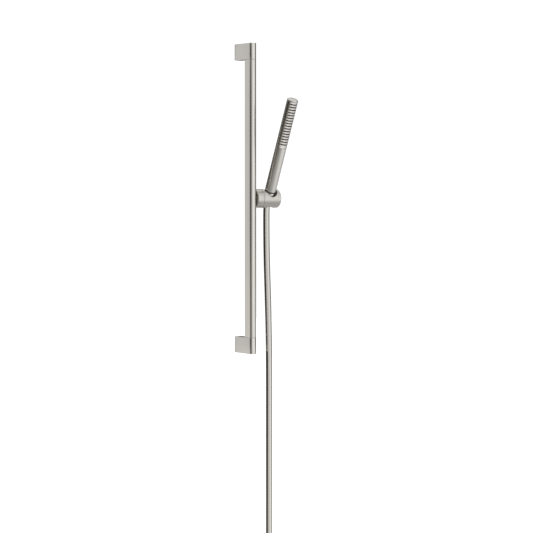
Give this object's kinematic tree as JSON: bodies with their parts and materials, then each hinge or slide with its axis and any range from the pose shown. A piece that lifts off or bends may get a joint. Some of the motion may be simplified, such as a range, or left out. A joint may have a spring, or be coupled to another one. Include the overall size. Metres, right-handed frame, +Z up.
{
  "type": "shower rail set",
  "caption": "Wall shower set: a rail on brackets, a sliding and tilting holder, and a stick handset on a flexible hose.",
  "frame": {"origin": "middle of the upper wall plate's back face, on the wall", "axes": "+Z up along the rail, +Y into the wall, +X to the right when facing the wall"},
  "size_m": [0.1671, 0.1472, 1.2828],
  "materials": {
    "brushed_nickel": "satin brushed nickel",
    "plain_steel": "plain steel",
    "brass": "machined",
    "dark_plastic": "moulded acetal",
    "grey_plastic": "moulded nylon",
    "white_plastic": "moulded acetal",
    "rubber": "moulded rubber",
    "hose_skin": "smooth metal-effect hose skin"
  },
  "bodies": {
    "rail_assembly": {"rail_profile": "brushed_nickel", "upper_bracket": "brushed_nickel", "lower_bracket": "brushed_nickel", "upper_wall_plate": "plain_steel", "lower_wall_plate": "plain_steel", "upper_wall_gasket": "rubber", "lower_wall_gasket": "rubber", "upper_grub_screw": "plain_steel", "lower_grub_screw": "plain_steel", "upper_rail_insert": "grey_plastic", "lower_rail_insert": "grey_plastic", "upper_insert_screw": "plain_steel", "lower_insert_screw": "plain_steel"},
    "slider": {"slider_ring": "brushed_nickel", "slider_core": "plain_steel", "t_nut": "plain_steel", "upper_glide": "white_plastic", "lower_glide": "white_plastic", "upper_carriage_screw": "plain_steel", "lower_carriage_screw": "plain_steel", "brake_pad": "dark_plastic", "brake_spring": "plain_steel", "brake_set_screw": "plain_steel", "pivot_axle": "plain_steel", "tilt_friction_disc": "dark_plastic", "wave_spring": "plain_steel", "pivot_screw": "plain_steel"},
    "holder": {"holder_barrel": "brushed_nickel", "barrel_end_cap": "brushed_nickel", "socket_liner": "dark_plastic", "pivot_bush": "white_plastic", "pivot_washer": "white_plastic"},
    "hose_end": {"swivel_stem": "brass", "upper_ferrule": "brushed_nickel", "swivel_bearing": "white_plastic"},
    "handset": {"cone_nut": "brushed_nickel", "inlet_washer": "rubber", "joint_ring": "rubber", "inlet_connector": "brass", "filter_screen": "plain_steel", "check_valve_body": "white_plastic", "check_valve_spring": "plain_steel", "flow_limiter": "white_plastic", "baton_shell": "brushed_nickel", "top_cap": "brushed_nickel", "spray_strip": "brushed_nickel", "nozzle_mat": "rubber", "spray_chassis": "white_plastic", "water_tube": "white_plastic", "lower_oring": "rubber", "upper_oring": "rubber"},
    "valve_poppet": {"check_valve_poppet": "dark_plastic"},
    "hose": {"hose_tube": "hose_skin", "hose_coil": "hose_skin", "hose_tie": "dark_plastic", "lower_ferrule": "brushed_nickel"},
    "hose_nut": {"lower_nut": "brushed_nickel", "lower_washer": "rubber"}
  },
  "joints": [
    {"name": "slider_travel", "type": "slide", "parent": "rail_assembly", "child": "slider", "axis": [0, 0, 1], "range_m": [-0.275, 0.275]},
    {"name": "holder_tilt", "type": "hinge", "parent": "slider", "child": "holder", "pos_m": [0.0485, -0.046, -0.316], "axis": [1, 0, 0], "range_deg": [-23, 22]},
    {"name": "handset_lift", "type": "slide", "parent": "holder", "child": "hose_end", "axis": [0, -0.3955, 0.9184], "range_m": [0, 0.06]},
    {"name": "handset_turn", "type": "hinge", "parent": "hose_end", "child": "handset", "pos_m": [0.0485, -0.046, -0.316], "axis": [0, -0.3955, 0.9184], "continuous": true},
    {"name": "check_valve_open", "type": "slide", "parent": "handset", "child": "valve_poppet", "axis": [0, -0.3955, 0.9184], "range_m": [0, 0.0025], "stiffness_N_per_m": 80, "springref_m": -0.003, "deforming": ["check_valve_spring"]},
    {"name": "hose_swing", "type": "hinge", "parent": "hose_end", "child": "hose", "pos_m": [0.0485, -0.04284, -0.32335], "axis": [1, 0, 0], "range_deg": [-22, 23], "deforming": ["hose_tube"]},
    {"name": "lower_nut_turn", "type": "hinge", "parent": "hose", "child": "hose_nut", "pos_m": [0.12073, -0.01717, -1.14683], "axis": [-0.0837, 0, 0.9965], "continuous": true}
  ],
  "couplings": [
    {"joint": "hose_swing", "follows": "holder_tilt", "ratio": -1}
  ]
}
